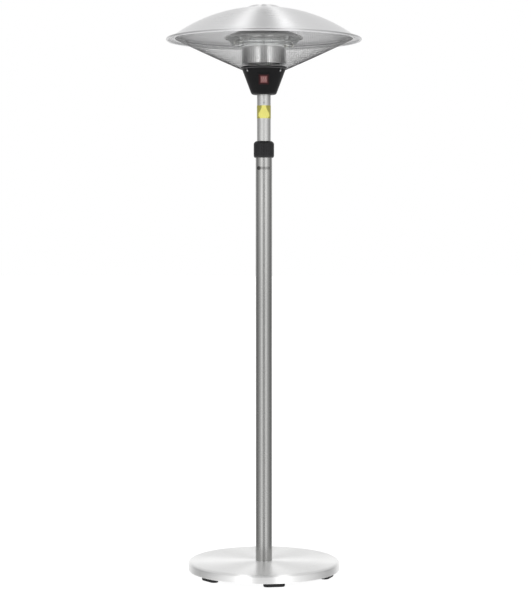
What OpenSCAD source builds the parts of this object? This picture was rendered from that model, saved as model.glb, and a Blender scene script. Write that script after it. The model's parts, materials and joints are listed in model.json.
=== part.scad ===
// Free-standing electric outdoor heater: a weighted round base, a telescopic pole with a
// twist-lock collar, and a mushroom head with ring lamps under a spun metal canopy.
// Millimetres, +Z up, origin on the floor under the pole's axis, front of the head to -Y.

/* [Base] */
// Diameter of the round base
base_d = 500; // [460:10:560]
// Height of the base's top face above the floor
base_top = 42; // [40:1:50]
// Radius of the base cover's rolled top edge
base_edge = 9; // [7:0.5:11]
// Height of the rubber feet, which is where the cover's skirt ends
foot_h = 13.5; // [13:0.5:18]
// Turn of the first foot, away from the front
foot_turn = 8.5; // [0:0.5:30]

/* [Pole] */
// Outer diameter of the pole
pole_d = 54; // [53:0.5:56]
// Length of the pole above the base
pole_l = 1344; // [1100:2:1400]
// Outer diameter of the telescopic inner tube
tube_d = 45; // [44:0.5:46]
// Wall thickness of both tubes
tube_wall = 1.5; // [1.2:0.1:1.8]
// Length of the inner tube that shows between the collar and the housing
neck_l = 151.5; // [120:0.5:220]
// Length of the inner tube that stays inside the pole, below the collar
tube_inside = 383; // [300:1:420]
// Height of the twist-lock collar
collar_h = 54.5; // [50:0.5:58]
// Outer diameter of the twist-lock collar
collar_d = 67; // [64:0.5:70]

/* [Head] */
// Height of the control housing
housing_h = 90; // [86:1:94]
// Radius of the housing at its top
housing_r = 74; // [72:0.5:75]
// Outer diameter of the canopy over its rolled rim
canopy_d = 640; // [630:2:660]
// Radius of the canopy's spherical curve
canopy_curve = 509; // [500:0.5:520]
// Diameter of the polished central column
column_d = 150; // [148:1:156]
// Outer diameter of the heat shield above the lamps
shield_d = 256; // [250:2:264]
// Radius of the ring that the lamps are bent to
lamp_ring_r = 92; // [91:0.5:94]
// Outer diameter of the lamps' quartz tube
lamp_d = 9; // [8:0.5:9]
// Radius of the wire guard's outer ring
guard_r = 292; // [288:1:294]

/* [Controls] */
// Throw of each rocker switch in degrees
rocker_throw = 20; // [12:1:22]
// Distance between the two rocker switches
rocker_pitch = 19; // [18:0.5:20]
// Side of the square badge on the housing's front
badge_w = 34; // [30:1:36]

/* [Hidden] */
$fn = 96;

// Base
base_r = base_d / 2;
sheet = 1.2;                     // spun and pressed sheet metal
plate_t = 2;                     // base plate
bolt_r = 6;                      // M12 centre bolt
foot_w = 70;                     // foot length along the rim
foot_t = 28;                     // foot width across the rim
foot_pitch_r = base_r - 28;      // feet centre circle
foot_count = 6;
foot_head_z = 7;                 // seat of the foot screw's head

// Pole and collar
pole_r = pole_d / 2;
pole_bore = pole_r - tube_wall;
tube_r = tube_d / 2;
tube_bore = tube_r - tube_wall;
pole_top = base_top + pole_l;
collar_overlap = 14;             // how far the collar reaches down over the pole
collar_z = pole_top - collar_overlap;
collar_top = collar_z + collar_h;
fit = 0.1;                       // running fit, radial
free = 0.3;                      // free clearance, radial
gland_z = 110;
tube_end = collar_z - tube_inside;
glide_z = tube_end + 5;
glide_h = 24;

// Housing
housing_z = collar_top + neck_l;
housing_top = housing_z + housing_h;
housing_foot_r = 43.5;           // radius where the cone meets the rounded underside
housing_flat_r = 33;             // radius of the flat underside
housing_round = 9;               // height of the rounded underside
housing_wall = 2.5;
socket_z = housing_z + 22;       // flange of the head socket, on top of the inner tube
socket_flange_r = 38;
post_r = 14;
cone_slope = (housing_r - housing_foot_r) / (housing_h - housing_round);
cone_tilt = atan(cone_slope);
panel_z = housing_z + 52;        // centre of the switch panel
badge_z = housing_z + 46;        // centre of the badge
latch_turns = [50, 180, 310];    // turns of the guard latches from the front
latch_z = housing_top - 14;      // height of the latches' screws

// Head
column_r = column_d / 2;
column_z = housing_top + 9;
curve_z = housing_top - 314;     // centre of the canopy's curve
canopy_r = canopy_d / 2;
bead_r = 4;                      // rolled rim
flare_w = 26;                    // width of the flare inside the rim
flare_r = canopy_r - bead_r - flare_w;
rim_slope = -0.15;               // slope of the canopy where it meets the rolled rim
boss_r = 38;                     // flat crown boss
boss_foot_r = 62;                // where the boss has blended into the curve
crown_z = curve_z + canopy_curve + 5;
column_top = column_z + 178;
bridge_z = column_top - 4;
shield_top = housing_top + 98;
shield_lip = 6;
shield_rise = 20;                // height of the cone on the heat shield
shield_r = shield_d / 2;
lamp_r = lamp_d / 2;
lamp_upper_z = housing_top + 81.5;
lamp_lower_z = lamp_upper_z - 11;
cap_turn = 6;                    // turn of each lamp cap from its bracket
cap_l = 12;
cap_r = 6;
lead_r = 1.2;
lead_y = 6;                      // leads pass the column's wall this far off its middle
guard_z = housing_top + 94.5;    // centre of the guard's outer ring
guard_wire = 3.2;
guard_low_r = housing_r + 2.5;
guard_low_z = housing_top - 5;
guard_low_wire = 2;
guard_bulge = 1;                 // how far the guard's curve stands off its chord
clip_turns = [for (i = [0:5]) 30 + 60 * i];

// Points along an arc about (cx, cy), from angle a to angle b
function arc(cx, cy, r, a, b, steps = 12) =
    [for (i = [0:steps]) let (t = a + (b - a) * i / steps) [cx + r * cos(t), cy + r * sin(t)]];

// Points along a quadratic curve from p to q, pulled towards c
function bend(p, c, q, steps = 8) =
    [for (i = [0:steps]) let (t = i / steps) p * (1 - t) * (1 - t) + c * 2 * t * (1 - t) + q * t * t];

// The same list from last to first
function reversed(v) = [for (i = [len(v) - 1:-1:0]) v[i]];

// Height and slope of the canopy's outer face at radius r
function curve_h(r) = curve_z + sqrt(canopy_curve * canopy_curve - r * r);
function curve_slope(r) = -r / sqrt(canopy_curve * canopy_curve - r * r);
function flare_h(r) =
    let (s = curve_slope(flare_r), d = r - flare_r)
    curve_h(flare_r) + s * d + (rim_slope - s) * d * d / (2 * flare_w);
function boss_h(r) =
    let (t = (r - boss_r) / (boss_foot_r - boss_r), k = t * t * (3 - 2 * t))
    crown_z * (1 - k) + curve_h(r) * k;
function canopy_h(r) = r <= boss_r ? crown_z : r < boss_foot_r ? boss_h(r) :
    r <= flare_r ? curve_h(r) : flare_h(r);
// Height of the canopy's inner face, the sheet's thickness below along the normal
function canopy_in(r) =
    let (s = (canopy_h(r + 0.5) - canopy_h(r - 0.5))) canopy_h(r) - sheet * sqrt(1 + s * s);

// Radius of the housing's cone at height z
function cone_r(z) = housing_foot_r + (z - housing_z - housing_round) * cone_slope;

module tube(r_out, r_in, z, h) {
    translate([0, 0, z]) difference() {
        cylinder(r = r_out, h = h);
        translate([0, 0, -1]) cylinder(r = r_in, h = h + 2);
    }
}

module rounded_rect(w, h, r) {
    square([w - 2 * r, h], center = true);
    square([w, h - 2 * r], center = true);
    for (x = [-1, 1], y = [-1, 1])
        translate([x * (w / 2 - r), y * (h / 2 - r)]) circle(r = r, $fn = 32);
}

// Places its child on the housing's cone at height z, turned from the rear by turn:
// local +Y points out of the wall, local +Z up the wall
module on_cone(z, turn) {
    rotate([0, 0, turn]) translate([0, cone_r(z), z]) rotate([-cone_tilt, 0, 0]) children();
}

// Extrudes a flat outline (x across, y up the wall) outwards from y0 to y1 on a wall
module outward(y0, y1) {
    translate([0, y1, 0]) rotate([90, 0, 0]) linear_extrude(height = y1 - y0) children();
}

module rod(p, q, r) {
    d = q - p;
    l = norm(d);
    translate(p) rotate([0, acos(d[2] / l), atan2(d[1], d[0])]) cylinder(r = r, h = l, $fn = 24);
}

module lead(points, r) {
    for (i = [0:len(points) - 2]) rod(points[i], points[i + 1], r);
    for (i = [1:len(points) - 2]) translate(points[i]) sphere(r = r + 0.08, $fn = 24);
}

module cross_recess(z, l, depth) {
    for (a = [0, 90]) rotate([0, 0, a]) translate([-l / 2, -l / 10, z - depth]) cube([l, l / 5, depth + 1]);
}

// Pan-head screw along +Z, its head's seat at z = 0 and its shank below
module pan_screw(head_r, head_h, shank_r, shank_l) {
    difference() {
        union() {
            translate([0, 0, -shank_l]) cylinder(r = shank_r, h = shank_l + 0.5, $fn = 32);
            rotate_extrude($fn = 48) polygon(concat([[0, 0], [head_r, 0], [head_r, head_h * 0.4]],
                bend([head_r, head_h * 0.4], [head_r * 0.9, head_h], [head_r * 0.35, head_h], 6),
                [[0, head_h]]));
        }
        cross_recess(head_h, head_r * 1.2, head_h * 0.6);
    }
}

module at_feet() {
    for (i = [0:foot_count - 1])
        rotate([0, 0, foot_turn + 360 / foot_count * i]) translate([0, -foot_pitch_r, 0]) children();
}

// ---------------------------------------------------------------- base

module base_cover() {
    edge_z = base_top - base_edge;
    color("silver") rotate_extrude($fn = 180) polygon(concat(
        [[bolt_r + 1, base_top - sheet], [bolt_r + 1, base_top]],
        reversed(arc(base_r - base_edge, edge_z, base_edge, 0, 90)),
        [[base_r, foot_h], [base_r - sheet, foot_h]],
        arc(base_r - base_edge, edge_z, base_edge - sheet, 0, 90)));
}

module ballast_weight() {
    low = foot_h + plate_t + 0.2;
    color("darkgray") difference() {
        translate([0, 0, low]) cylinder(r = base_r - 12, h = base_top - sheet - 0.2 - low);
        cylinder(r = bolt_r + 1, h = base_top);
        at_feet() cylinder(r = 2.3, h = foot_h + 10, $fn = 32);
    }
}

module base_plate() {
    color("dimgray") difference() {
        translate([0, 0, foot_h]) cylinder(r = base_r - sheet - 0.5, h = plate_t, $fn = 180);
        cylinder(r = bolt_r + 0.2, h = base_top);
        at_feet() cylinder(r = 2.5, h = base_top, $fn = 32);
    }
}

module foot_outline(inset) {
    square([foot_w - foot_t, foot_t - 2 * inset], center = true);
    for (x = [-1, 1]) translate([x * (foot_w - foot_t) / 2, 0]) circle(r = foot_t / 2 - inset, $fn = 48);
}

module rubber_feet() {
    color([0.08, 0.08, 0.08]) at_feet() difference() {
        union() {
            linear_extrude(height = 2) foot_outline(1.2);
            translate([0, 0, 2]) linear_extrude(height = foot_h - 2) foot_outline(0);
        }
        translate([0, 0, -1]) cylinder(r = 6, h = foot_head_z + 1, $fn = 48);
        cylinder(r = 2.5, h = foot_h + 1, $fn = 32);
    }
}

module foot_screws() {
    color("gainsboro") at_feet() translate([0, 0, foot_head_z]) mirror([0, 0, 1])
        pan_screw(4.6, 3, 2.1, foot_h + 9 - foot_head_z);
}

module pole_foot_plug() {
    color("gray") difference() {
        translate([0, 0, base_top]) cylinder(r = pole_bore - fit, h = 38);
        cylinder(r = bolt_r + fit, h = base_top + 50);
        translate([0, 0, base_top + 20]) rotate([-90, 0, 0]) cylinder(r = 2.1, h = pole_r, $fn = 32);
    }
}

module plug_screw() {
    color("gainsboro") translate([0, pole_r + 0.05, base_top + 20]) rotate([-90, 0, 0])
        pan_screw(4, 2.2, 2, 12);
}

module base_bolt() {
    head_h = 7.5;
    seat = foot_h - 1.6;
    color("gainsboro") {
        translate([0, 0, seat - head_h]) cylinder(r = 11, h = head_h, $fn = 6);
        translate([0, 0, seat]) cylinder(r = bolt_r, h = base_top + 32 - seat);
    }
}

module base_bolt_washer() {
    color("gainsboro") tube(14, bolt_r + 0.3, foot_h - 1.6, 1.6);
}

// ---------------------------------------------------------------- pole

module outer_pole() {
    color("silver") difference() {
        tube(pole_r, pole_bore, base_top, pole_l);
        translate([0, 0, gland_z]) rotate([-90, 0, 0]) cylinder(r = 6.2, h = pole_r + 5, $fn = 48);
        translate([0, 0, base_top + 20]) rotate([-90, 0, 0]) cylinder(r = 2.2, h = pole_r + 5, $fn = 32);
    }
}

module cable_gland() {
    color([0.1, 0.1, 0.1]) translate([0, 0, gland_z]) rotate([-90, 0, 0]) difference() {
        union() {
            translate([0, 0, pole_bore - 7]) cylinder(r = 9.5, h = 4.6, $fn = 6);
            translate([0, 0, pole_bore - 7]) cylinder(r = 6, h = 12, $fn = 48);
            translate([0, 0, pole_r + 0.3]) cylinder(r = 10, h = 4, $fn = 6);
            translate([0, 0, pole_r + 4.3]) cylinder(r = 8, h = 7, $fn = 48);
            translate([0, 0, pole_r + 11.3]) cylinder(r1 = 8, r2 = 6, h = 5, $fn = 48);
        }
        translate([0, 0, pole_bore - 8]) cylinder(r = 4.1, h = 40, $fn = 48);
    }
}

module pole_bush() {
    flange_t = 4;
    color([0.15, 0.15, 0.15]) difference() {
        union() {
            translate([0, 0, pole_top - 50]) cylinder(r = pole_bore - fit, h = 50.5);
            translate([0, 0, pole_top]) cylinder(r = pole_r, h = flange_t);
            translate([0, 0, pole_top + flange_t]) cylinder(r = tube_r + 2.5, h = 20);
            translate([0, 0, pole_top + flange_t + 20]) cylinder(r1 = tube_r + 2.5, r2 = tube_r + 1.2, h = 3);
        }
        translate([0, 0, pole_top - 51]) cylinder(r = tube_r + fit, h = 90);
        for (a = [45, 135]) rotate([0, 0, a])
            translate([-pole_r, -0.8, pole_top + flange_t + 5]) cube([pole_d, 1.6, 24]);
    }
}

module lock_collar() {
    r = collar_d / 2;
    inner = pole_top + 4 + free;
    roof = collar_top - 9;
    groove_r = 1.6;
    color([0.18, 0.18, 0.18]) difference() {
        rotate_extrude() polygon(concat(
            [[pole_r + free, collar_z], [pole_r + 1.5, collar_z]],
            bend([pole_r + 1.5, collar_z], [r - 0.2, collar_z + 0.8], [r, collar_z + 8]),
            bend([r, collar_top - 9.5], [r - 0.6, collar_top - 4], [tube_r + 3, collar_top]),
            [[tube_r + 0.45, collar_top], [tube_r + 0.45, roof], [tube_r + 2.9, roof],
            [tube_r + 2.9, inner], [pole_r + free, inner]]));
        for (i = [0:23]) rotate([0, 0, 15 * i]) translate([r + groove_r - 0.7, 0, collar_z + 9])
            cylinder(r = groove_r, h = collar_h - 20, $fn = 24);
    }
}

module glide_ring() {
    color("ivory") rotate_extrude() polygon([
        [tube_r + free, glide_z], [pole_bore - free, glide_z], [pole_bore - free, glide_z + 8],
        [pole_bore - free - 0.8, glide_z + 9], [pole_bore - free - 0.8, glide_z + glide_h - 9],
        [pole_bore - free, glide_z + glide_h - 8], [pole_bore - free, glide_z + glide_h],
        [tube_r + free, glide_z + glide_h]]);
}

module inner_tube() {
    color("silver") difference() {
        tube(tube_r, tube_bore, tube_end, socket_z - tube_end);
        translate([0, 0, socket_z - 51]) rotate([90, 0, 0]) cylinder(r = 2.2, h = tube_r + 5, $fn = 32);
    }
}

module stop_rings() {
    color("gray") for (z = [glide_z - 2.3, glide_z + glide_h + 0.3]) tube(tube_r + 2, tube_r + 0.05, z, 2);
}

module neck_screw() {
    color("gray") translate([0, -tube_r - 0.05, socket_z - 51]) rotate([90, 0, 0]) pan_screw(3.6, 2, 1.9, 8);
}

module label_band() {
    high = socket_z - 57.5;
    color("gold") rotate([0, 0, 155]) translate([0, 0, high - 42]) rotate_extrude(angle = 230)
        translate([tube_r + 0.05, 0]) square([0.25, 42]);
}

// ---------------------------------------------------------------- control housing

module head_socket() {
    color("gray") difference() {
        union() {
            translate([0, 0, socket_z - 60]) cylinder(r = tube_bore - fit, h = 60.5);
            translate([0, 0, socket_z]) cylinder(r = socket_flange_r, h = 4);
            translate([0, 0, socket_z + 3]) cylinder(r = post_r, h = column_z - socket_z - 3);
        }
        translate([0, 0, column_z - 52]) cylinder(r = 5.1, h = 60, $fn = 48);
        translate([0, 0, socket_z - 51]) rotate([90, 0, 0]) cylinder(r = 2, h = tube_r, $fn = 32);
    }
}

module housing_profile() {
    flat = [housing_flat_r, housing_z];
    foot = [housing_foot_r, housing_z + housing_round];
    in_flat = [housing_flat_r - 1, housing_z + housing_wall];
    in_foot = [housing_foot_r - housing_wall, housing_z + housing_round];
    polygon(concat(
        [[tube_r + 0.4, housing_z]],
        bend(flat, [housing_foot_r - 2.5, housing_z], foot),
        [[housing_r, housing_top], [housing_r - housing_wall, housing_top]],
        bend(in_foot, [in_foot[0] - 2.5, in_flat[1]], in_flat),
        [[tube_r + 0.4, housing_z + housing_wall]]));
}

module housing_shell() {
    color([0.09, 0.09, 0.1]) difference() {
        union() {
            rotate_extrude($fn = 128) housing_profile();
            on_cone(panel_z, 0) outward(-5, 1.5) rounded_rect(44, 30, 4);
            on_cone(badge_z, 180) outward(-4.5, 1) rounded_rect(badge_w + 6, badge_w + 6, 4);
        }
        on_cone(panel_z, 0) for (x = [-0.5, 0.5]) translate([x * rocker_pitch, 0, 0])
            outward(-12, 4) square([13.4, 19.4], center = true);
        on_cone(badge_z, 180) outward(-0.6, 4) rounded_rect(badge_w + 0.6, badge_w + 0.6, 2.3);
        for (a = latch_turns) on_cone(latch_z, a + 180)
            rotate([90, 0, 0]) translate([0, 0, -5]) cylinder(r = 1.6, h = 12, $fn = 32);
    }
}

module badge() {
    color([0.6, 0.1, 0.12]) on_cone(badge_z, 180) outward(-0.55, 1.5) rounded_rect(badge_w, badge_w, 2);
}

module switch_bodies() {
    color([0.12, 0.12, 0.12]) on_cone(panel_z, 0) for (x = [-0.5, 0.5])
        translate([x * rocker_pitch, 0, 0]) difference() {
            union() {
                outward(1.5, 3) rounded_rect(15, 21, 1.2);
                outward(-14, 1.6) square([13, 19], center = true);
            }
            outward(-9, 4) square([11.2, 16.6], center = true);
            translate([-6, 0.5, 0]) rotate([0, 90, 0]) cylinder(r = 1.06, h = 12, $fn = 32);
        }
}

// One rocker in its off position, its lower half pressed in
module rocker(side) {
    color([0.06, 0.06, 0.06]) on_cone(panel_z, 0) translate([side * rocker_pitch / 2, 0.5, 0])
        rotate([-rocker_throw / 2, 0, 0]) {
            translate([-5.3, 0, 0]) rotate([90, 0, 90]) linear_extrude(height = 10.6) intersection() {
                circle(r = 8);
                polygon([[-4.5, -7.2], [3.7, -7.2], [2.3, 0], [3.7, 7.2], [-4.5, 7.2]]);
            }
            translate([-5.9, 0, 0]) rotate([0, 90, 0]) cylinder(r = 1, h = 11.8, $fn = 32);
        }
}

module rocker_left() { rocker(-1); }

module rocker_right() { rocker(1); }

module terminal_block() {
    color("ivory") translate([0, 0, socket_z + 4]) difference() {
        translate([-14, -34, 0]) cube([28, 16, 14]);
        for (x = [-8, 0, 8], y = [-30, -22]) translate([x, y, 6]) cylinder(r = 2, h = 10, $fn = 24);
    }
}

module tilt_switch() {
    color([0.2, 0.2, 0.22]) translate([0, 0, socket_z + 4]) {
        translate([18, -9, 0]) cube([13, 18, 20]);
        translate([20, -5, 20]) cube([1, 3, 6]);
        translate([20, 3, 20]) cube([1, 3, 6]);
    }
}

// Strips that climb the housing and hook over the guard's lower ring
module guard_latches() {
    low = latch_z - 5;
    turn_z = guard_low_z + guard_low_wire + 0.2;
    lip = cone_r(low) + free;
    strip = 1.1;
    neck = cone_r(turn_z + strip) + free;
    color("gainsboro") difference() {
        for (a = latch_turns) rotate([0, 0, a - 90]) rotate([90, 0, 0])
            translate([0, 0, -4]) linear_extrude(height = 8) polygon([
                [lip, low], [lip + strip, low], [neck + strip, turn_z], [guard_low_r + 2, turn_z],
                [guard_low_r + 2, turn_z + strip], [neck, turn_z + strip]]);
        for (a = latch_turns) on_cone(latch_z, a + 180)
            rotate([-90, 0, 0]) cylinder(r = 1.7, h = 5, $fn = 32);
    }
}

module latch_screws() {
    color("gray") for (a = latch_turns) on_cone(latch_z, a + 180)
        translate([0, 1.45, 0]) rotate([-90, 0, 0]) pan_screw(2.8, 1.6, 1.5, 6);
}

// ---------------------------------------------------------------- column and canopy

module column_foot() {
    color("silver") rotate_extrude() polygon([
        [housing_r - 6, housing_top], [housing_r - 1, housing_top], [housing_r - 1, housing_top + 1.5],
        [housing_r - 5, housing_top + 2], [46, column_z - 1.5], [46, column_z], [42, column_z],
        [42, column_z - 1.5], [44.5, column_z - 2.5], [housing_r - 6, housing_top + 1.2]]);
}

module column_base() {
    r = column_r - sheet - 0.1;
    color("silver") difference() {
        rotate_extrude() polygon([[0, column_z], [r, column_z], [r, column_z + 12],
            [r - sheet, column_z + 12], [r - sheet, column_z + 2.5], [0, column_z + 2.5]]);
        translate([0, 0, column_z - 1]) cylinder(r = 5.3, h = 6, $fn = 48);
        for (x = [-28, 28], y = [-lead_y, lead_y])
            translate([x, y, column_z - 1]) cylinder(r = 2.4, h = 6, $fn = 32);
    }
}

module tie_bolt() {
    seat = column_z + 4.5;
    color("gainsboro") {
        translate([0, 0, seat]) cylinder(r = 9.8, h = 6.4, $fn = 6);
        translate([0, 0, column_z - 46]) cylinder(r = 5, h = seat - column_z + 46, $fn = 48);
    }
}

module tie_washer() {
    color("gainsboro") tube(12, 5.2, column_z + 2.5, 2);
}

module column() {
    color("gainsboro") difference() {
        tube(column_r, column_r - sheet, column_z, column_top - column_z, $fn = 180);
        for (lamp = [[lamp_upper_z, -1], [lamp_lower_z, 1]], y = [-lead_y, lead_y])
            translate([lamp[1] * (column_r - 5) - 10, y, lamp[0]]) rotate([0, 90, 0])
                cylinder(r = 3.1, h = 20, $fn = 32);
    }
}

module column_bridge() {
    color("silver") difference() {
        translate([0, 0, bridge_z]) cylinder(r = column_r - sheet - 0.1, h = 2);
        translate([0, 0, bridge_z - 1]) cylinder(r = 4.3, h = 4, $fn = 32);
        for (a = [0, 120, 240]) rotate([0, 0, a]) translate([44, 0, bridge_z - 1]) cylinder(r = 18, h = 4);
    }
}

module canopy_spacer() {
    color("silver") tube(8, 4.4, bridge_z + 2, crown_z - sheet - bridge_z - 2);
}

module canopy_nut() {
    color("gainsboro") difference() {
        translate([0, 0, bridge_z - 6.5]) cylinder(r = 7.5, h = 6.5, $fn = 6);
        translate([0, 0, bridge_z - 8]) cylinder(r = 4.1, h = 10, $fn = 32);
    }
}

module canopy() {
    rim = canopy_r - bead_r;
    radii = concat([4.5, boss_r], [for (i = [1:8]) boss_r + (boss_foot_r - boss_r) * i / 8],
        [for (i = [1:22]) boss_foot_r + (flare_r - boss_foot_r) * i / 22]);
    flare = [for (i = [1:5]) flare_r + flare_w * i / 6];
    color("silver") rotate_extrude($fn = 180) polygon(concat(
        [for (r = concat(radii, flare)) [r, canopy_h(r)]],
        arc(rim, canopy_h(rim) - bead_r, bead_r, 90, -222, 24),
        [for (r = reversed(concat(radii, flare))) [r, canopy_in(r)]]));
}

module canopy_washer() {
    color("gainsboro") tube(10, 4.3, crown_z, 1.2);
}

module canopy_screw() {
    color("gainsboro") translate([0, 0, crown_z + 1.2]) pan_screw(6.5, 3.4, 4, crown_z + 1.2 - bridge_z + 9);
}

module heat_shield() {
    low = shield_top - shield_lip;
    color("silver") difference() {
        rotate_extrude($fn = 128) polygon([
            [column_r + 0.3, shield_top - sheet], [shield_r - sheet - 1, shield_top - sheet],
            [shield_r - sheet, shield_top - sheet - 1], [shield_r - sheet, low], [shield_r, low],
            [shield_r, shield_top - 2], [shield_r - 2, shield_top], [column_r + 0.3 + sheet, shield_top],
            [column_r + 0.3 + sheet, shield_top + 6], [column_r + 0.3, shield_top + 6]]);
        for (s = [-1, 1], x = [98, 114]) translate([s * x, 6, low]) cylinder(r = 1.8, h = 10, $fn = 32);
    }
}

// Cone that closes the shield up to the column
module shield_cone() {
    low = shield_top + 0.1;
    foot = shield_r - 3;
    head = column_r + 0.4 + sheet;
    color("dimgray") rotate_extrude($fn = 128) polygon([
        [foot - 6, low], [foot, low], [foot, low + 0.8], [head + 0.6, low + shield_rise],
        [head, low + shield_rise + 3], [column_r + 0.4, low + shield_rise + 3],
        [column_r + 0.4, low + shield_rise - 0.4], [foot - 3, low + 0.8], [foot - 6, low + 0.8]]);
}

// ---------------------------------------------------------------- lamps

// A quartz tube bent to a ring, open at its bracket; start is where the bracket stands
module lamp(z, start) {
    gap = cap_turn + 0.9;
    translate([0, 0, z]) rotate([0, 0, start + gap]) rotate_extrude(angle = 360 - 2 * gap, $fn = 96)
        translate([lamp_ring_r, 0]) difference() {
            circle(r = lamp_r, $fn = 48);
            circle(r = lamp_r - 1, $fn = 48);
        }
}

module filament(z, start) {
    gap = cap_turn + 1.2;
    translate([0, 0, z]) rotate([0, 0, start + gap]) rotate_extrude(angle = 360 - 2 * gap, $fn = 96)
        translate([lamp_ring_r, 0]) circle(r = 1.3, $fn = 24);
}

module lamp_upper() { color([0.9, 0.9, 0.95, 0.4]) lamp(lamp_upper_z, 180); }

module lamp_lower() { color([0.9, 0.9, 0.95, 0.4]) lamp(lamp_lower_z, 0); }

module filament_upper() { color("dimgray") filament(lamp_upper_z, 180); }

module filament_lower() { color("dimgray") filament(lamp_lower_z, 0); }

module lamp_cap(z, turn) {
    rotate([0, 0, turn]) translate([lamp_ring_r, 0, z]) rotate([90, 0, 0])
        translate([0, 0, -cap_l / 2]) cylinder(r = cap_r, h = cap_l, $fn = 48);
}

module lamp_socket(z, turn, side) {
    rotate([0, 0, turn]) translate([lamp_ring_r, side * cap_l / 4, z]) rotate([90, 0, 0])
        cylinder(r = lamp_r + 0.4, h = cap_l / 2 + 0.4, center = true, $fn = 48);
}

module lamp_caps() {
    color("whitesmoke") for (lamp = [[lamp_upper_z, 180], [lamp_lower_z, 0]], s = [-1, 1]) difference() {
        lamp_cap(lamp[0], lamp[1] + s * cap_turn);
        lamp_socket(lamp[0], lamp[1] + s * cap_turn, s);
    }
}

// Upright plate that holds one lamp's two caps and lets the other lamp pass; side is -1 or 1
module lamp_bracket(side, ended_z, passing_z) {
    high = shield_top - sheet - 0.1;
    low = lamp_lower_z - 7;
    outer = shield_r - sheet - 2;
    inner = column_r + 4;
    scale_x = side < 0 ? [1, 0, 0] : [0, 0, 0];
    mirror(scale_x) difference() {
        union() {
            translate([0, 1, 0]) rotate([90, 0, 0]) linear_extrude(height = 2)
                polygon([[inner, low], [inner + 16, low], [outer, high], [inner, high]]);
            translate([inner, -1, high - 1.2]) cube([outer - inner, 13, 1.2]);
        }
        translate([lamp_ring_r, 5, passing_z]) rotate([90, 0, 0]) cylinder(r = lamp_r + 0.6, h = 10);
        translate([lamp_ring_r, 5, ended_z]) rotate([90, 0, 0]) cylinder(r = 1.5, h = 10, $fn = 32);
        for (x = [98, 114]) translate([x, 6, high - 5]) cylinder(r = 1.8, h = 10, $fn = 32);
    }
}

module lamp_brackets() {
    color("gainsboro") {
        lamp_bracket(-1, lamp_upper_z, lamp_lower_z);
        lamp_bracket(1, lamp_lower_z, lamp_upper_z);
    }
}

module bracket_screws() {
    color("gray") for (s = [-1, 1], x = [98, 114]) translate([s * x, 6, shield_top - sheet - 1.35])
        mirror([0, 0, 1]) pan_screw(3, 1.8, 1.5, 5);
}

module lamp_hangers() {
    low = lamp_lower_z - 7;
    high = shield_top - sheet - 0.1;
    color("gainsboro") for (a = [0, 180]) rotate([0, 0, a]) difference() {
        union() {
            translate([-0.8, -lamp_ring_r - 8, low]) cube([1.6, 16, high - low]);
            translate([-0.8, -lamp_ring_r - 8, high - 1.2]) cube([11, 16, 1.2]);
        }
        for (z = [lamp_upper_z, lamp_lower_z]) translate([-5, -lamp_ring_r, z]) rotate([0, 90, 0])
            cylinder(r = lamp_r + 0.35, h = 10);
    }
}

module lead_bushings() {
    color("whitesmoke") for (lamp = [[lamp_upper_z, -1], [lamp_lower_z, 1]], y = [-lead_y, lead_y])
        translate([lamp[1] * column_r, y, lamp[0]]) rotate([0, 90, 0]) difference() {
            cylinder(r = 2.9, h = 8, center = true, $fn = 32);
            cylinder(r = lead_r + 0.2, h = 10, center = true, $fn = 24);
        }
}

module lamp_leads() {
    run_x = column_r - 12;
    low_z = column_z + 18;
    color("white") for (lamp = [[lamp_upper_z, -1], [lamp_lower_z, 1]], y = [-lead_y, lead_y]) {
        s = lamp[1];
        z = lamp[0];
        lead([[s * (lamp_ring_r - cap_r - 0.3), y, z], [s * run_x, y, z], [s * run_x, y, low_z],
            [s * 28, y, low_z - 6], [s * 28, y, housing_top - 24]], lead_r);
    }
}

// ---------------------------------------------------------------- wire guard

module guard_ring() {
    color("gainsboro") translate([0, 0, guard_z]) rotate_extrude($fn = 180)
        translate([guard_r, 0]) circle(r = guard_wire, $fn = 32);
}

module guard_lower_ring() {
    color("gainsboro") translate([0, 0, guard_low_z]) rotate_extrude()
        translate([guard_low_r, 0]) circle(r = guard_low_wire, $fn = 32);
}

// Bowl of woven wire, drawn as one thin sheet on its true outer shape
module guard_mesh() {
    top = [guard_r - 2.5, guard_z - guard_wire - 0.9];
    low = [guard_low_r + guard_low_wire + 0.6, guard_low_z - 1.2];
    mid = (top + low) / 2;
    chord = top - low;
    side = [chord[1], -chord[0]] / norm(chord);
    outer = bend(low, mid + side * guard_bulge * 2, top, 20);
    color("lightgray") rotate_extrude($fn = 180)
        polygon(concat(outer, [for (p = reversed(outer)) p - side * 0.9]));
}

// Small C-shaped clips that hang the guard's ring under the canopy
module guard_clips() {
    leg = guard_r + guard_wire + 0.3;
    low = guard_z - guard_wire - 1.5;
    out = leg + 9;
    color("gainsboro") for (a = clip_turns) rotate([0, 0, a]) rotate([90, 0, 0])
        translate([0, 0, -6]) linear_extrude(height = 12) polygon([
            [leg - 4, low], [leg + 1.2, low], [leg + 1.2, canopy_in(leg + 1.2) - 2],
            [out, canopy_in(out) - 1.8], [out, canopy_in(out) - 0.6], [leg, canopy_in(leg) - 0.6],
            [leg, low + 1.2], [leg - 4, low + 1.2]]);
}

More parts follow.
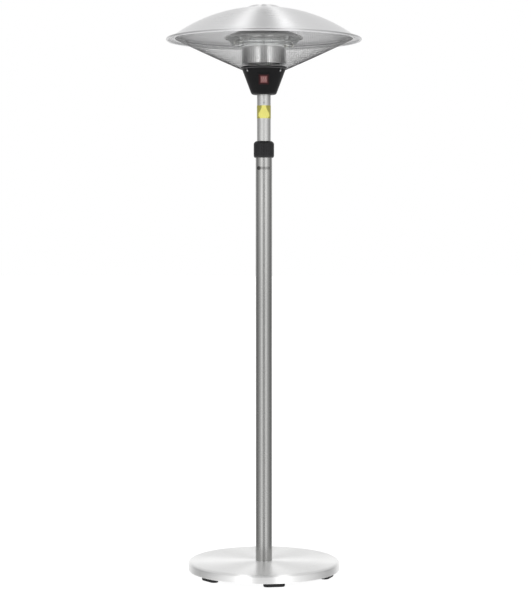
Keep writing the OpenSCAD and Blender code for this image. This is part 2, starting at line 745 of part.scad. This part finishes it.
base_cover();
ballast_weight();
base_plate();
rubber_feet();
foot_screws();
pole_foot_plug();
plug_screw();
base_bolt();
base_bolt_washer();
outer_pole();
cable_gland();
pole_bush();
lock_collar();
glide_ring();
inner_tube();
stop_rings();
head_socket();
neck_screw();
label_band();
housing_shell();
badge();
switch_bodies();
rocker_left();
rocker_right();
terminal_block();
tilt_switch();
guard_latches();
latch_screws();
column_foot();
column_base();
tie_bolt();
tie_washer();
column();
column_bridge();
canopy_spacer();
canopy_nut();
canopy();
canopy_washer();
canopy_screw();
heat_shield();
shield_cone();
lamp_upper();
lamp_lower();
filament_upper();
filament_lower();
lamp_caps();
lamp_brackets();
bracket_screws();
lamp_hangers();
lead_bushings();
lamp_leads();
guard_ring();
guard_lower_ring();
guard_mesh();
guard_clips();
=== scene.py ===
import bpy
import json
import math
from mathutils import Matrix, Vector


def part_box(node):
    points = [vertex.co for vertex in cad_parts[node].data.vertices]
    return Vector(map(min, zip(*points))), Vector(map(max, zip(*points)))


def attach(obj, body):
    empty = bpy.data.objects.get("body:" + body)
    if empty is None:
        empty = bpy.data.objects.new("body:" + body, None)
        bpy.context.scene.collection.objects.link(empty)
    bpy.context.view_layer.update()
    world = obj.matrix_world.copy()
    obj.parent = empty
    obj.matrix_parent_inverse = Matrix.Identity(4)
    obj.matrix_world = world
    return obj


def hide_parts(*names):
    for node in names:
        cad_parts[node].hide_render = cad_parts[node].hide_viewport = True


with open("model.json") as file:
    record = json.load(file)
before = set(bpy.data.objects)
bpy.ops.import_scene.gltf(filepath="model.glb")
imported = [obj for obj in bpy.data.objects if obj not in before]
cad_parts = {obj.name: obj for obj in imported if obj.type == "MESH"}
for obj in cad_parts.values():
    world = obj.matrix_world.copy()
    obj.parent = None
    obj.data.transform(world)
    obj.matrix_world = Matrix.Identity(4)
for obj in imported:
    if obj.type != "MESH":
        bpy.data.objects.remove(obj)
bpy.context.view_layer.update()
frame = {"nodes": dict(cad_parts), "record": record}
MM = 0.001


# ------------------------------------------------------------------ mesh helpers

def add_piece(name, verts, faces, body, mat, sharp=32, cad=()):
    mesh = bpy.data.meshes.new(name)
    mesh.from_pydata(verts, [], faces)
    mesh.validate()
    mesh.polygons.foreach_set("use_smooth", [True] * len(mesh.polygons))
    mesh.set_sharp_from_angle(angle=math.radians(sharp))
    mesh.update()
    mesh.materials.append(mat)
    obj = bpy.data.objects.new(name, mesh)
    bpy.context.scene.collection.objects.link(obj)
    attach(obj, body)
    if cad:
        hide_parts(*cad)
    return obj


class Build:
    """Collects the vertices and faces of one piece, in metres."""

    def __init__(self):
        self.verts = []
        self.faces = []

    def lathe(self, loop, count, start=0.0, sweep=360.0):
        """Turns a closed outline of (radius, height) points about Z."""
        full = abs(sweep - 360.0) < 1e-6
        turns = count if full else count + 1
        first = len(self.verts)
        size = len(loop)
        for i in range(turns):
            a = math.radians(start + sweep * i / count)
            for r, z in loop:
                self.verts.append((r * math.cos(a), r * math.sin(a), z))
        for i in range(count):
            j = (i + 1) % turns
            for k in range(size):
                m = (k + 1) % size
                self.faces.append((first + i * size + k, first + j * size + k,
                                   first + j * size + m, first + i * size + m))
        if not full:
            self.faces.append(tuple(first + k for k in range(size)))
            last = first + (turns - 1) * size
            self.faces.append(tuple(last + k for k in reversed(range(size))))

    def tube(self, path, radius, sides, closed=False):
        """Sweeps a round section along points, with flat ends."""
        first = len(self.verts)
        n = len(path)
        side = None
        for i, p in enumerate(path):
            if closed:
                d = path[(i + 1) % n] - path[i - 1]
            else:
                d = path[min(i + 1, n - 1)] - path[max(i - 1, 0)]
            d = d.normalized()
            if side is None:
                up = Vector((0, 0, 1)) if abs(d.z) < 0.9 else Vector((1, 0, 0))
                side = d.cross(up).normalized()
            side = (side - d * side.dot(d)).normalized()
            other = d.cross(side)
            for k in range(sides):
                a = 2 * math.pi * (k + 0.5) / sides
                q = p + side * (radius * math.cos(a)) + other * (radius * math.sin(a))
                self.verts.append((q.x, q.y, q.z))
        spans = n if closed else n - 1
        for i in range(spans):
            j = (i + 1) % n
            for k in range(sides):
                m = (k + 1) % sides
                self.faces.append((first + i * sides + k, first + i * sides + m,
                                   first + j * sides + m, first + j * sides + k))
        if not closed:
            self.faces.append(tuple(first + k for k in reversed(range(sides))))
            last = first + (n - 1) * sides
            self.faces.append(tuple(last + k for k in range(sides)))

    def piece(self, name, body, mat, sharp=32, cad=()):
        return add_piece(name, self.verts, self.faces, body, mat, sharp, cad)


def arc(cx, cz, r, a, b, steps):
    out = []
    for i in range(steps + 1):
        t = math.radians(a + (b - a) * i / steps)
        out.append((cx + r * math.cos(t), cz + r * math.sin(t)))
    return out


# ------------------------------------------------------------------ shader helpers

def new_material(name, color, metallic, roughness):
    mat = bpy.data.materials.new(name)
    mat.use_nodes = True
    tree = mat.node_tree
    bsdf = tree.nodes["Principled BSDF"]
    bsdf.inputs["Base Color"].default_value = (*color, 1)
    bsdf.inputs["Metallic"].default_value = metallic
    bsdf.inputs["Roughness"].default_value = roughness
    return mat, tree, bsdf


def math_node(tree, operation, a, b=None):
    made = tree.nodes.new("ShaderNodeMath")
    made.operation = operation
    for i, v in enumerate((a, b)):
        if v is None:
            continue
        if isinstance(v, (int, float)):
            made.inputs[i].default_value = v
        else:
            tree.links.new(v, made.inputs[i])
    return made.outputs[0]


def times(tree, a, b):
    return math_node(tree, "MULTIPLY", a, b)


def less(tree, a, b):
    return math_node(tree, "SUBTRACT", a, b)


def larger(tree, a, b):
    return math_node(tree, "MAXIMUM", a, b)


def size_of(tree, a):
    return math_node(tree, "ABSOLUTE", a)


def distance(tree, a, b):
    return math_node(tree, "SQRT", math_node(tree, "ADD", times(tree, a, a), times(tree, b, b)))


def grey(v):
    return (v, v, v)


def ramp(tree, source, stops):
    made = tree.nodes.new("ShaderNodeValToRGB")
    tree.links.new(source, made.inputs[0])
    band = made.color_ramp
    while len(band.elements) < len(stops):
        band.elements.new(0.5)
    for element, (place, color) in zip(band.elements, stops):
        element.position = place
        element.color = (*color, 1)
    return made.outputs[0]


def remap(tree, source, low, high, out_low, out_high):
    made = tree.nodes.new("ShaderNodeMapRange")
    tree.links.new(source, made.inputs["Value"])
    made.inputs["From Min"].default_value = low
    made.inputs["From Max"].default_value = high
    made.inputs["To Min"].default_value = out_low
    made.inputs["To Max"].default_value = out_high
    return made.outputs[0]


def noise(tree, vector, scale, detail=2.0, roughness=0.5):
    made = tree.nodes.new("ShaderNodeTexNoise")
    made.inputs["Scale"].default_value = scale
    made.inputs["Detail"].default_value = detail
    made.inputs["Roughness"].default_value = roughness
    tree.links.new(vector, made.inputs["Vector"])
    return made.outputs["Fac"]


def object_coords(tree):
    return tree.nodes.new("ShaderNodeTexCoord").outputs["Object"]


def split_xyz(tree, vector):
    made = tree.nodes.new("ShaderNodeSeparateXYZ")
    tree.links.new(vector, made.inputs[0])
    return made.outputs


def scaled(tree, vector, scale):
    made = tree.nodes.new("ShaderNodeMapping")
    made.inputs["Scale"].default_value = scale
    tree.links.new(vector, made.inputs["Vector"])
    return made.outputs[0]


def shaded(tree, color, factor):
    """A plain colour or a colour socket, times a varying factor."""
    made = tree.nodes.new("ShaderNodeVectorMath")
    made.operation = "SCALE"
    if isinstance(color, tuple):
        made.inputs[0].default_value = color
    else:
        tree.links.new(color, made.inputs[0])
    tree.links.new(factor, made.inputs["Scale"])
    return made.outputs[0]


def polar(tree, vector):
    """Vector of (radius, turn, height) for a surface that is round about Z."""
    x, y, z = split_xyz(tree, vector)
    joined = tree.nodes.new("ShaderNodeCombineXYZ")
    tree.links.new(distance(tree, x, y), joined.inputs[0])
    tree.links.new(math_node(tree, "ARCTAN2", y, x), joined.inputs[1])
    tree.links.new(z, joined.inputs[2])
    return joined.outputs[0]


def bump(tree, bsdf, height, strength, depth):
    made = tree.nodes.new("ShaderNodeBump")
    made.inputs["Strength"].default_value = strength
    made.inputs["Distance"].default_value = depth
    tree.links.new(height, made.inputs["Height"])
    tree.links.new(made.outputs[0], bsdf.inputs["Normal"])


def radial_tangent(tree, bsdf):
    made = tree.nodes.new("ShaderNodeTangent")
    made.direction_type = "RADIAL"
    made.axis = "Z"
    tree.links.new(made.outputs[0], bsdf.inputs["Tangent"])


def brushed(name, color, roughness, anisotropic, grain,
            lift=0.10, spun=True, depth=0.02 * MM, turn=0.0):
    """Metal with fine lines round the Z axis (spun) or along it, and faint handling marks."""
    mat, tree, bsdf = new_material(name, color, 1.0, roughness)
    coords = object_coords(tree)
    fine = noise(tree, scaled(tree, polar(tree, coords), grain), 1.0, 3.0, 0.6)
    smear = noise(tree, coords, 9.0, 3.0, 0.55)
    shade = remap(tree, fine, 0.3, 0.7, 1 - lift, 1 + lift * 0.4)
    tree.links.new(shaded(tree, color, shade), bsdf.inputs["Base Color"])
    worn = math_node(tree, "ADD", remap(tree, fine, 0.25, 0.75, -0.035, 0.035),
                     remap(tree, smear, 0.3, 0.7, roughness - 0.03, roughness + 0.04))
    tree.links.new(worn, bsdf.inputs["Roughness"])
    bsdf.inputs["Anisotropic"].default_value = anisotropic
    bsdf.inputs["Anisotropic Rotation"].default_value = turn
    if spun:
        radial_tangent(tree, bsdf)
    bump(tree, bsdf, fine, 0.25, depth)
    return mat


def plastic(name, color, roughness, texture, depth, specular=0.5):
    """Moulded or painted surface with a fine grain and slow cloudy changes of tone."""
    mat, tree, bsdf = new_material(name, color, 0.0, roughness)
    bsdf.inputs["Specular IOR Level"].default_value = specular
    coords = object_coords(tree)
    grain = noise(tree, coords, texture, 4.0, 0.6)
    cloud = noise(tree, coords, 26.0, 2.0, 0.5)
    deep = tuple(c * 0.86 for c in color)
    pale = tuple(min(1, c * 1.12) for c in color)
    tree.links.new(ramp(tree, cloud, [(0.35, deep), (0.65, pale)]), bsdf.inputs["Base Color"])
    matt = remap(tree, grain, 0.3, 0.7, roughness - 0.05, roughness + 0.06)
    tree.links.new(matt, bsdf.inputs["Roughness"])
    bump(tree, bsdf, grain, 0.35, depth)
    return mat


def dim(mat, keep):
    """Multiply a metal's base colour by a varying factor."""
    tree = mat.node_tree
    base = tree.nodes["Principled BSDF"].inputs["Base Color"]
    tree.links.new(shaded(tree, base.links[0].from_socket, keep), base)


def paint_shade_low(mat, low_z, high_z, least):
    """Paint shade on a metal: its colour darker towards its foot."""
    tree = mat.node_tree
    height = split_xyz(tree, object_coords(tree))[2]
    dim(mat, remap(tree, height, low_z, high_z, least, 1.0))


# ------------------------------------------------------------------ materials

# Brush lines per metre of radius, per radian, per metre of height
SPUN = (1900.0, 2.0, 500.0)
CANOPY = (1700.0, 2.0, 30.0)
DRAWN = (40.0, 3.0, 1500.0)
WIRE = (900.0, 60.0, 900.0)
PRESSED = (1500.0, 60.0, 1500.0)
ACROSS = 0.25     # quarter turn: highlights spread along the radius

METALS = [
    ("spun_steel", (0.97, 0.97, 0.965), 0.34, 0.86, (2600.0, 2.0, 900.0), {"turn": ACROSS}),
    ("tube_steel", (0.53, 0.53, 0.52), 0.24, 0.45, DRAWN, {}),
    ("column_steel", (0.90, 0.90, 0.895), 0.10, 0.35, (40.0, 3.0, 1100.0), {"lift": 0.04}),
    ("canopy_aluminium", (0.76, 0.76, 0.765), 0.44, 0.95, CANOPY, {"turn": ACROSS}),
    ("shield_steel", (0.56, 0.56, 0.555), 0.26, 0.4, SPUN, {}),
    ("hood_steel", (0.20, 0.20, 0.20), 0.30, 0.75, SPUN, {"turn": ACROSS}),
    ("guard_wire", (0.55, 0.55, 0.555), 0.26, 0.0, (900.0, 30.0, 900.0), {"spun": False}),
    ("guard_weave", (0.28, 0.28, 0.28), 0.32, 0.0, WIRE, {"spun": False}),
    ("inner_metal", (0.62, 0.62, 0.63), 0.34, 0.0, (700.0, 20.0, 700.0), {"spun": False}),
    ("plated_steel", (0.62, 0.63, 0.63), 0.28, 0.0, PRESSED, {"spun": False}),
    ("filament_wire", (0.26, 0.25, 0.235), 0.38, 0.0, WIRE, {"spun": False}),
    ("pole_steel", (0.53, 0.53, 0.52), 0.24, 0.45, DRAWN, {}),
    ("drawn_steel", (0.68, 0.68, 0.67), 0.42, 0.20, DRAWN, {}),
    ("foot_cone_steel", (0.88, 0.88, 0.875), 0.46, 0.5, SPUN, {}),
    ("latch_steel", (0.09, 0.09, 0.092), 0.42, 0.0, PRESSED, {"spun": False}),
    ("ring_shaded", (0.10, 0.10, 0.102), 0.40, 0.0, (900.0, 30.0, 900.0), {"spun": False}),
    ("canopy_reflector", (0.93, 0.93, 0.935), 0.30, 0.6, CANOPY, {"lift": 0.05, "turn": ACROSS}),
]
PLASTICS = [
    ("plate_paint", (0.05, 0.05, 0.055), 0.42, 900.0, 0.06 * MM, 0.5),
    ("ballast", (0.50, 0.49, 0.47), 0.9, 260.0, 1.2 * MM, 0.5),
    ("black_plastic", (0.005, 0.005, 0.0055), 0.46, 2300.0, 0.10 * MM, 0.12),
    ("collar_plastic", (0.014, 0.014, 0.015), 0.44, 2300.0, 0.10 * MM, 0.30),
    ("pale_plastic", (0.74, 0.72, 0.66), 0.48, 1500.0, 0.06 * MM, 0.5),
    ("switch_plastic", (0.013, 0.013, 0.014), 0.24, 900.0, 0.03 * MM, 0.5),
    ("foot_rubber", (0.018, 0.018, 0.019), 0.72, 1300.0, 0.18 * MM, 0.35),
    ("white_ceramic", (0.80, 0.79, 0.75), 0.55, 1100.0, 0.10 * MM, 0.5),
    ("lead_sleeve", (0.76, 0.75, 0.70), 0.8, 2600.0, 0.30 * MM, 0.5),
]
materials = {}
for name, color, roughness, anisotropic, grain, options in METALS:
    materials[name] = brushed(name, color, roughness, anisotropic, grain, **options)
for name, color, roughness, texture, depth, specular in PLASTICS:
    materials[name] = plastic(name, color, roughness, texture, depth, specular)


def quartz_material():
    """Clear tube with faint drawing lines."""
    mat, tree, bsdf = new_material("quartz", (0.97, 0.98, 0.98), 0.0, 0.02)
    bsdf.inputs["Transmission Weight"].default_value = 1.0
    bsdf.inputs["IOR"].default_value = 1.46
    lines = scaled(tree, polar(tree, object_coords(tree)), (60.0, 12.0, 60.0))
    drawn = noise(tree, lines, 1.0, 2.0, 0.5)
    tree.links.new(remap(tree, drawn, 0.3, 0.7, 0.01, 0.05), bsdf.inputs["Roughness"])
    return mat


def label_material():
    """Coated paper in two plain yellows: a paler rounded patch on a deeper ground."""
    mat, tree, bsdf = new_material("label_yellow", (0.62, 0.57, 0.14), 0.0, 0.42)
    patch_reach = 22.5 * MM
    outline = [(0.0, 0.60), (0.08, 0.66), (0.18, 0.80), (0.40, 0.76), (0.60, 0.54),
               (0.80, 0.36), (1.0, 0.30)]
    coords = object_coords(tree)
    x, y, z = split_xyz(tree, coords)
    low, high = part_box("label_band")
    rise = remap(tree, z, low.z, high.z, 0.0, 1.0)
    half = times(tree, ramp(tree, rise, [(at, grey(v)) for at, v in outline]), patch_reach)
    inside = remap(tree, less(tree, size_of(tree, x), half), -1.6 * MM, 1.2 * MM, 1.0, 0.0)
    front = remap(tree, y, -4 * MM, 2 * MM, 1.0, 0.0)
    tone = ramp(tree, times(tree, inside, front), [(0.0, (0.36, 0.33, 0.060)), (1.0, (0.86, 0.80, 0.20))])
    fibre = noise(tree, coords, 1500.0, 3.0, 0.6)
    paper = shaded(tree, tone, remap(tree, fibre, 0.3, 0.7, 0.94, 1.04))
    tree.links.new(paper, bsdf.inputs["Base Color"])
    tree.links.new(remap(tree, fibre, 0.3, 0.7, 0.36, 0.5), bsdf.inputs["Roughness"])
    bump(tree, bsdf, fibre, 0.3, 0.02 * MM)
    return mat


def badge_material():
    """Enamelled plate: a dark red frame round a paler field with a rising heat-wave motif."""
    mat, tree, bsdf = new_material("badge_red", (0.20, 0.02, 0.025), 0.0, 0.32)
    bsdf.inputs["Specular IOR Level"].default_value = 0.15
    wave_pitch = 6.2 * MM
    sway_reach = 1.1 * MM
    sway_rate = 520.0
    coords = object_coords(tree)
    x, y, z = split_xyz(tree, coords)
    low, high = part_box("badge")
    half = (high.x - low.x) / 2
    rise = less(tree, z, (low.z + high.z) / 2)
    reach = larger(tree, size_of(tree, x), size_of(tree, rise))
    field = remap(tree, reach, half * 0.70, half * 0.60, 0.0, 1.0)
    sway = times(tree, math_node(tree, "SINE", times(tree, rise, sway_rate)), sway_reach)
    column = math_node(tree, "ADD", x, sway)
    wave = math_node(tree, "COSINE", times(tree, column, 2 * math.pi / wave_pitch))
    inner = larger(tree, size_of(tree, x), times(tree, size_of(tree, rise), 1.05))
    stroke = times(tree, remap(tree, wave, 0.25, 0.55, 0.0, 1.0),
                   remap(tree, inner, half * 0.50, half * 0.44, 0.0, 1.0))
    ground = ramp(tree, field, [(0.0, (0.022, 0.003, 0.004)), (1.0, (0.19, 0.070, 0.070))])
    paint = tree.nodes.new("ShaderNodeMix")
    paint.data_type = "RGBA"
    tree.links.new(stroke, paint.inputs["Factor"])
    tree.links.new(ground, paint.inputs[6])
    paint.inputs[7].default_value = (0.40, 0.24, 0.23, 1)
    tree.links.new(paint.outputs[2], bsdf.inputs["Base Color"])
    fine = noise(tree, coords, 1400.0, 2.0, 0.5)
    tree.links.new(remap(tree, fine, 0.3, 0.7, 0.26, 0.36), bsdf.inputs["Roughness"])
    bump(tree, bsdf, stroke, 0.4, 0.2 * MM)
    return mat


def print_pole_mark(mat):
    """Add a plain printed alignment mark below the collar, a dot and a bar on the front."""
    tree = mat.node_tree
    mark_drop = 34 * MM
    dot_place = -16.5 * MM
    bar_tone = 0.5
    ink_keep = 0.22
    x, y, z = split_xyz(tree, object_coords(tree))
    rise = size_of(tree, less(tree, z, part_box("lock_collar")[0].z - mark_drop))
    front = remap(tree, y, -4 * MM, -8 * MM, 0.0, 1.0)
    bar = times(tree, remap(tree, rise, 5.2 * MM, 4.2 * MM, 0.0, 1.0),
                remap(tree, size_of(tree, x), 20.5 * MM, 19.5 * MM, 0.0, 1.0))
    away = distance(tree, less(tree, x, dot_place), rise)
    dot = remap(tree, away, 6.8 * MM, 5.6 * MM, 0.0, 1.0)
    ink = times(tree, front, larger(tree, times(tree, bar, bar_tone), dot))
    dim(mat, remap(tree, ink, 0.0, 1.0, 1.0, ink_keep))


materials["quartz"] = quartz_material()
materials["label_yellow"] = label_material()
materials["badge_red"] = badge_material()

weave_lo, weave_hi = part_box("guard_mesh")
# Painted shade: the wire weave's colour is darkened towards the foot of the bowl, near the housing.
paint_shade_low(materials["guard_weave"], weave_lo.z + 26 * MM, weave_hi.z - 12 * MM, 0.06)

pole_lo, pole_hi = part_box("outer_pole")
pole_long = pole_hi.z - pole_lo.z
print_pole_mark(materials["pole_steel"])
# Painted shade: the pole's colour is darkened over its lower part.
paint_shade_low(materials["pole_steel"], pole_lo.z + 0.64 * pole_long, pole_lo.z + 0.90 * pole_long, 0.80)

# Nodes that look different from the rest of their slot
OWN_LOOK = {
    "column_foot": "foot_cone_steel",
    "outer_pole": "pole_steel",
    "guard_latches": "latch_steel",
    "guard_lower_ring": "ring_shaded",
}
for part in frame["record"]["subparts"]:
    cad_mesh = frame["nodes"][part["node"]].data
    cad_mesh.materials.clear()
    cad_mesh.materials.append(materials[OWN_LOOK.get(part["node"], part["material_slot"])])


# ------------------------------------------------------------------ base and pole

base_lo, base_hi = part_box("base_cover")
base_r = base_hi.x
edge = 9 * MM
hem = 0.6 * MM
sheet = 1.2 * MM
bolt_hole = 7 * MM
outline = [(bolt_hole, base_hi.z - sheet), (bolt_hole, base_hi.z)]
outline += [(base_r * k / 10, base_hi.z) for k in range(1, 9)]
outline += arc(base_r - edge, base_hi.z - edge, edge, 90, 0, 14)
outline += [(base_r, base_lo.z + hem + 0.2 * MM)]
outline += arc(base_r - hem, base_lo.z + hem, hem, 0, -180, 6)
outline += arc(base_r - edge, base_hi.z - edge, edge - sheet, 0, 90, 10)
skirt = Build()
skirt.lathe(outline, 240)
skirt.piece("base_cover_spun", "stand", materials["spun_steel"], 40, ["base_cover"])


def rolled_tube(name, cad, wall, body, mat):
    """Tube with slightly broken edges, in the CAD node's place."""
    lo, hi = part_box(cad)
    r = hi.x
    c = 0.35 * MM
    rows = 24
    made = Build()
    outer = [(r, lo.z + c + (hi.z - lo.z - 2 * c) * i / rows) for i in range(rows + 1)]
    bottom = [(r - wall, hi.z - c), (r - wall, lo.z + c), (r - wall + c, lo.z), (r - c, lo.z)]
    made.lathe(bottom + outer + [(r - c, hi.z), (r - wall + c, hi.z)], 144)
    made.piece(name, body, mat, 40, [cad])


rolled_tube("inner_tube_drawn", "inner_tube", 1.5 * MM, "head", materials["drawn_steel"])


# ------------------------------------------------------------------ canopy

canopy_lo, canopy_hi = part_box("canopy")
canopy_r = canopy_hi.x
crown_z = canopy_hi.z
curve_z = crown_z - 514 * MM     # centre of the dome's curve
curve_r = 509 * MM
bead = 4 * MM
flare_w = 26 * MM
flare_r = canopy_r - bead - flare_w
rim_slope = -0.15
boss_r = 38 * MM
boss_foot = 62 * MM


def curve_h(r):
    return curve_z + math.sqrt(curve_r * curve_r - r * r)


def canopy_h(r):
    """Height of the outer face: crown boss, dome, then the flare up to the rolled rim."""
    if r <= boss_r:
        return crown_z
    if r < boss_foot:
        t = (r - boss_r) / (boss_foot - boss_r)
        k = t * t * (3 - 2 * t)
        return crown_z * (1 - k) + curve_h(r) * k
    if r <= flare_r:
        return curve_h(r)
    slope = -flare_r / math.sqrt(curve_r * curve_r - flare_r * flare_r)
    d = r - flare_r
    return curve_h(flare_r) + slope * d + (rim_slope - slope) * d * d / (2 * flare_w)


def canopy_in(r):
    """Height of the inner face, one sheet's thickness in."""
    slope = (canopy_h(r + 0.5 * MM) - canopy_h(r - 0.5 * MM)) / MM
    return canopy_h(r) - sheet * math.sqrt(1 + slope * slope)


def build_canopy():
    rim = canopy_r - bead
    radii = [4.5 * MM, 12 * MM, 24 * MM, 34 * MM, boss_r]
    radii += [boss_r + (boss_foot - boss_r) * i / 16 for i in range(1, 17)]
    radii += [boss_foot + (flare_r - boss_foot) * i / 40 for i in range(1, 41)]
    radii += [flare_r + flare_w * i / 8 for i in range(1, 8)]
    outer = [(r, canopy_h(r)) for r in radii]
    roll = arc(rim, canopy_h(rim) - bead, bead, 90, -222, 24)
    inner = [(r, canopy_in(r)) for r in reversed(radii)]
    made = Build()
    made.lathe(outer + roll + inner, 288)
    outside = materials["canopy_aluminium"]
    shell = made.piece("canopy_spun", "head", outside, 40, ["canopy"])
    shell.data.materials.append(materials["canopy_reflector"])
    for face in shell.data.polygons:
        if face.normal.z < -0.3 and face.center.to_2d().length < rim:
            face.material_index = 1


build_canopy()


# ------------------------------------------------------------------ wire guard

def guard_profile(start, top):
    """Height of the bowl at a radius, along a shallow outward curve from start to top."""
    steps = 400
    chord = top - start
    side = Vector((chord.y, -chord.x)).normalized()
    mid = (top + start) / 2 + side * (2 * MM)

    def solve(r):
        a, b = 0.0, 1.0
        for _ in range(30):
            t = (a + b) / 2
            p = start * (1 - t) * (1 - t) + mid * (2 * t * (1 - t)) + top * (t * t)
            if p.x < r:
                a = t
            else:
                b = t
        return p.y

    table = [solve(start.x + chord.x * i / steps) for i in range(steps + 1)]

    def height(r):
        f = min(max((r - start.x) / chord.x, 0.0), 1.0) * steps
        i = min(int(f), steps - 1)
        return table[i] + (table[i + 1] - table[i]) * (f - i)

    return height


def crossings(a, b, pitch):
    """Ends of a wire from a to b and the places between where it meets the other family."""
    stations = [a]
    k = math.ceil(a / pitch - 0.5)
    while (k + 0.5) * pitch < b:
        s = (k + 0.5) * pitch
        if s - a > 0.3 * pitch and b - s > 0.3 * pitch:
            stations.append(s)
        k += 1
    stations.append(b)
    return stations


def build_guard_mesh():
    """Plain weave of two wire families that follows the bowl, its ends tucked over the hem."""
    lo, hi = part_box("guard_mesh")
    top = Vector((hi.x, hi.z - 0.8 * MM))
    start = Vector((79.1 * MM, lo.z))
    bowl = guard_profile(start, top)
    hem_r = top.x + 1.0 * MM
    hem_z = top.y + 1.5 * MM
    pitch = 6.0 * MM
    wire = 0.36 * MM
    wave = 0.30 * MM
    clear = 0.9 * MM
    outer = top.x - 0.8 * MM
    inner = start.x + 0.4 * MM
    made = Build()
    count = int(outer / pitch)

    def place(family, s, off, z):
        return Vector((s, off, z)) if family == 0 else Vector((off, s, z))

    for family in range(2):
        for i in range(-count, count + 1):
            off = (i + 0.5) * pitch
            if abs(off) >= outer - 1 * MM:
                continue
            reach = math.sqrt(outer * outer - off * off)
            tuck = math.sqrt(hem_r * hem_r - off * off)
            runs = [(-reach, reach)]
            if abs(off) < inner:
                stop = math.sqrt(inner * inner - off * off)
                runs = [(-reach, -stop), (stop, reach)]
            for a, b in runs:
                path = []
                for s in crossings(a, b, pitch):
                    over = round(s / pitch - 0.5) + i + family
                    lift = wave * (1 if over % 2 else -1)
                    z = bowl(math.hypot(s, off)) + clear + lift
                    path.append(place(family, s, off, z))
                if a < 0 and b - a > pitch:
                    path.insert(0, place(family, -tuck, off, hem_z))
                if b > 0 and b - a > pitch:
                    path.append(place(family, tuck, off, hem_z))
                made.tube(path, wire, 4)
    weave = materials["guard_weave"]
    made.piece("guard_weave_bowl", "head", weave, 100, ["guard_mesh"])


build_guard_mesh()


# ------------------------------------------------------------------ lamps

def build_filament(name, cad, start, mat):
    """Coiled wire round the ring lamp, open where its end caps stand (angles in degrees)."""
    lo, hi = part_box(cad)
    z = (lo.z + hi.z) / 2
    ring = 92 * MM
    coil = 1.25 * MM
    wire = 0.30 * MM
    gap = 8.2
    turns = 190
    per = 7
    path = []
    for i in range(turns * per + 1):
        u = i / (turns * per)
        a = math.radians(start + gap + (360 - 2 * gap) * u)
        w = 2 * math.pi * turns * u
        r = ring + coil * math.cos(w)
        path.append(Vector((r * math.cos(a), r * math.sin(a), z + coil * math.sin(w))))
    made = Build()
    made.tube(path, wire, 4)
    made.piece(name, "head", mat, 80, [cad])


build_filament("filament_upper_coil", "filament_upper", 180, materials["filament_wire"])
build_filament("filament_lower_coil", "filament_lower", 0, materials["filament_wire"])


# ------------------------------------------------------------------ stage, light, camera

def stage_plane(name, half, z):
    corners = [(-half, -half, z), (half, -half, z), (half, half, z), (-half, half, z)]
    mesh = bpy.data.meshes.new(name)
    mesh.from_pydata(corners, [], [(0, 1, 2, 3)])
    obj = bpy.data.objects.new(name, mesh)
    bpy.context.scene.collection.objects.link(obj)
    return obj


# Pale floor that lights the heater's underside and doesn't show in the metal
floor = stage_plane("floor", 30, -0.3 * MM)
floor_mat, floor_tree, floor_bsdf = new_material("floor_pale", (0.30, 0.30, 0.30), 0.0, 0.9)
floor_bsdf.inputs["Emission Color"].default_value = (1, 1, 1, 1)
floor_bsdf.inputs["Emission Strength"].default_value = 0.95
floor.data.materials.append(floor_mat)
floor.visible_glossy = False

# White surround that only the camera sees
bpy.ops.mesh.primitive_uv_sphere_add(segments=48, ring_count=24, radius=40)
backdrop = bpy.context.object
backdrop.name = "backdrop"
back_mat = bpy.data.materials.new("backdrop_white")
back_mat.use_nodes = True
back_tree = back_mat.node_tree
back_tree.nodes.clear()
back_out = back_tree.nodes.new("ShaderNodeOutputMaterial")
back_glow = back_tree.nodes.new("ShaderNodeEmission")
back_glow.inputs["Strength"].default_value = 1.0
back_tree.links.new(back_glow.outputs[0], back_out.inputs[0])
backdrop.data.materials.append(back_mat)
backdrop.visible_glossy = False
backdrop.visible_diffuse = False
backdrop.visible_shadow = False
backdrop.visible_transmission = True

world = bpy.data.worlds.new("studio")
bpy.context.scene.world = world
world.use_nodes = True
wt = world.node_tree
wt.nodes.clear()
w_out = wt.nodes.new("ShaderNodeOutputWorld")
w_bg = wt.nodes.new("ShaderNodeBackground")
wt.links.new(w_bg.outputs[0], w_out.inputs[0])
wx, wy, wz = split_xyz(wt, wt.nodes.new("ShaderNodeTexCoord").outputs["Generated"])


def mix_value(tree, factor, a, b):
    return math_node(tree, "ADD", times(tree, a, less(tree, 1.0, factor)), times(tree, b, factor))


def profile(tree, source, stops):
    return ramp(tree, source, [(a / 180, grey(v)) for a, v in stops])


# Strip lights that stand at both sides of the viewer and arch over to the back:
# brightness by angle from the viewer's side, near the horizon (LEVEL) and higher up (RAISED)
LEVEL = [(0, 0.34), (15, 0.36), (21, 1.0), (33, 0.98), (42, 0.66), (52, 0.50), (66, 0.38),
         (84, 0.25), (100, 0.17), (112, 0.16), (128, 0.26), (142, 0.46), (156, 0.60), (180, 0.62)]
RAISED = [(0, 0.28), (17, 0.31), (24, 0.86), (33, 0.86), (42, 0.44), (80, 0.43), (180, 0.50)]
REAR = 0.62
BELOW = 0.85
POWER = 2.0
side_way = size_of(wt, wx)
depth_way = larger(wt, less(wt, 1.0, wy), 0.0001)
arch = math_node(wt, "DIVIDE", math_node(wt, "ARCTAN2", side_way, depth_way), math.pi / 2)
up = remap(wt, wz, 0.16, 0.42, 0.0, 1.0)
down = remap(wt, wz, -0.22, -0.55, 0.0, 1.0)
rear = remap(wt, wy, 0.90, 0.975, 0.0, 1.0)
shade = mix_value(wt, up, profile(wt, arch, LEVEL), profile(wt, arch, RAISED))
shade = mix_value(wt, rear, shade, REAR)
shade = mix_value(wt, down, shade, BELOW)
wt.links.new(times(wt, shade, POWER), w_bg.inputs["Strength"])

cam_data = bpy.data.cameras.new("camera")
cam_data.lens = 104.2
cam_data.sensor_width = 36
cam_data.clip_start = 0.1
cam_data.clip_end = 200
camera = bpy.data.objects.new("camera", cam_data)
bpy.context.scene.collection.objects.link(camera)
camera.location = (0.0053, -5.715, 1.17)
camera.rotation_euler = (math.radians(90 - 2.655), 0, 0)
bpy.context.scene.camera = camera
bpy.context.scene.view_settings.view_transform = "Standard"
